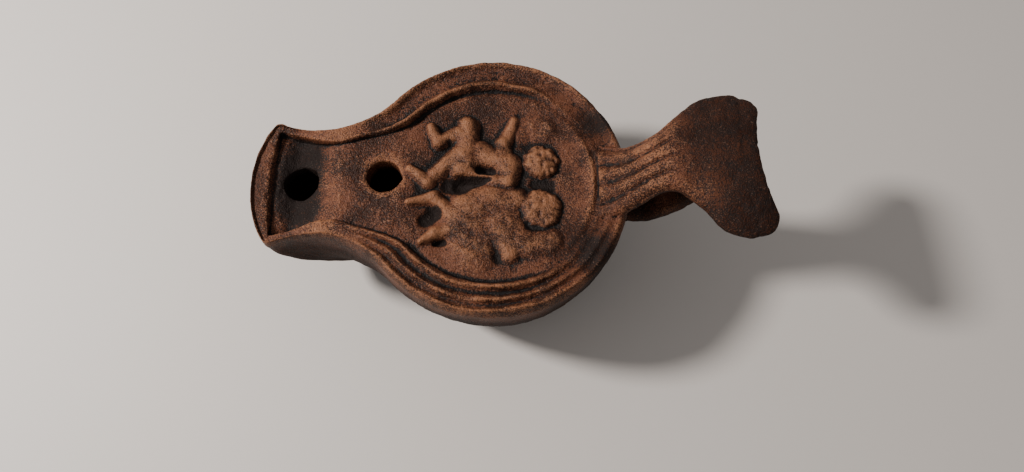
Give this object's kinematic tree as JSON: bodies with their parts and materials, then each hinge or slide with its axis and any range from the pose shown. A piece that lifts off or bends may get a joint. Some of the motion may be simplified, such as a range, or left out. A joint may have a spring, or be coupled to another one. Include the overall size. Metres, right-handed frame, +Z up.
{
  "type": "roman oil lamp",
  "caption": "Fired clay oil lamp with a relief discus in a ridged frame, a flared nozzle with wick hole, a filling hole, a ribbed ring handle and a crescent shield",
  "frame": {"origin": "middle of the flat foot, under the centre of the round body, on the surface the lamp stands on", "axes": "+X from the nozzle to the handle, +Z up, +Y to the left seen from the nozzle"},
  "size_m": [0.1268, 0.069, 0.0494],
  "materials": {
    "fired_clay": "gritty unglazed clay with a dark brown patina, worn tan on the raised parts"
  },
  "bodies": {
    "root": {"oil_lamp": "fired_clay"}
  },
  "joints": []
}
